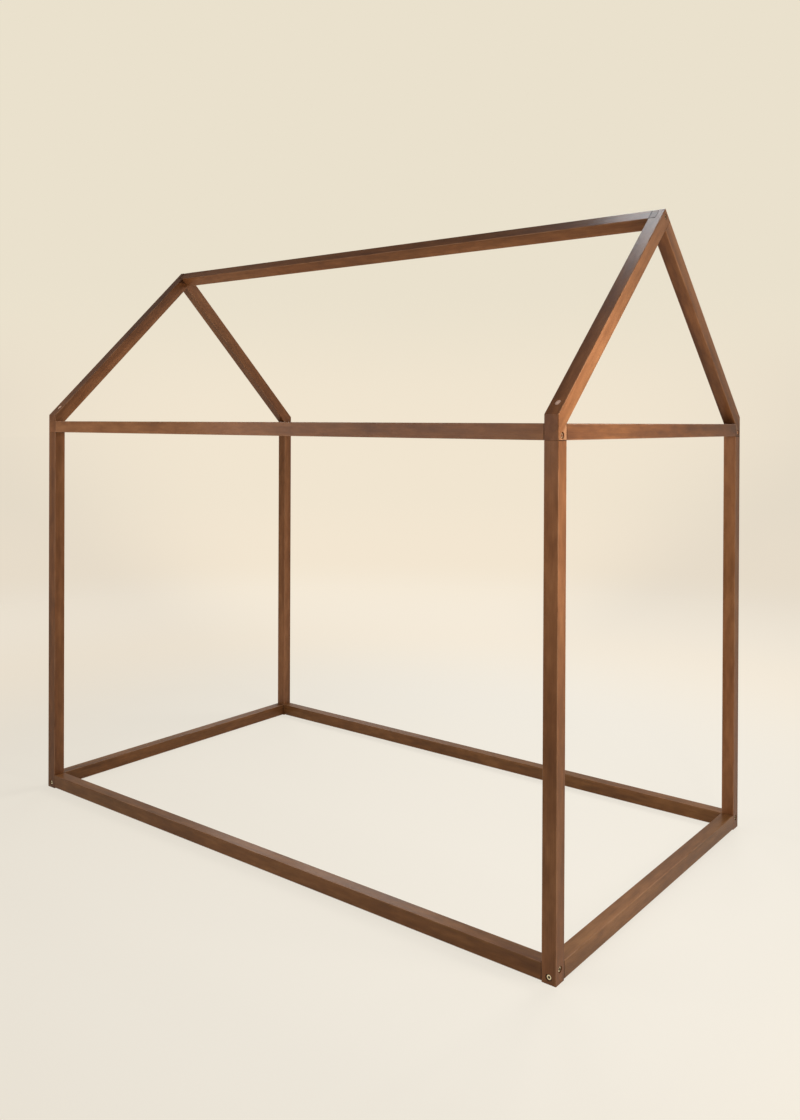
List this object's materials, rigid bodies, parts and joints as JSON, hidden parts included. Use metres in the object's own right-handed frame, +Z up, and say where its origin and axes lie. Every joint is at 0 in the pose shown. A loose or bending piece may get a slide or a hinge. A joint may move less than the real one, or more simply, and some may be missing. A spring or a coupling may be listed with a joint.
{
  "type": "house frame bed",
  "caption": "Open timber bed frame in the shape of a house: low rails round a floor mattress bay, corner posts, eave rails and gables joined by a ridge beam.",
  "frame": {"origin": "on the floor, in the middle of the rectangle of the four posts", "axes": "+X along the bed to its right end, +Y from the front side to the back side, +Z up"},
  "size_m": [2.01, 1.16, 1.8548],
  "materials": {
    "stained_timber": "satin",
    "cap_wood": "matte",
    "plain_beech": "matte",
    "bolt_brass": "polished",
    "zinc_steel": "satin"
  },
  "bodies": {
    "root": {"apex_dowels": "plain_beech", "bottom_rail_back": "stained_timber", "bottom_rail_front": "stained_timber", "bottom_rail_left": "stained_timber", "bottom_rail_right": "stained_timber", "eave_rail_back": "stained_timber", "eave_rail_bolts": "bolt_brass", "eave_rail_dowels": "plain_beech", "eave_rail_front": "stained_timber", "eave_rail_nuts": "zinc_steel", "end_rail_bolts": "bolt_brass", "end_rail_dowels": "plain_beech", "end_rail_nuts": "zinc_steel", "long_rail_bolts": "bolt_brass", "long_rail_dowels": "plain_beech", "long_rail_nuts": "zinc_steel", "post_back_left": "stained_timber", "post_back_right": "stained_timber", "post_front_left": "stained_timber", "post_front_right": "stained_timber", "post_top_bolts": "bolt_brass", "post_top_caps": "cap_wood", "post_top_dowels": "plain_beech", "post_top_sleeves": "zinc_steel", "rafter_back_left": "stained_timber", "rafter_back_right": "stained_timber", "rafter_front_left": "stained_timber", "rafter_front_right": "stained_timber", "ridge_beam": "stained_timber", "ridge_bolts": "bolt_brass", "ridge_nuts": "zinc_steel", "tie_rail_dowels": "plain_beech", "tie_rail_left": "stained_timber", "tie_rail_right": "stained_timber"}
  },
  "joints": []
}
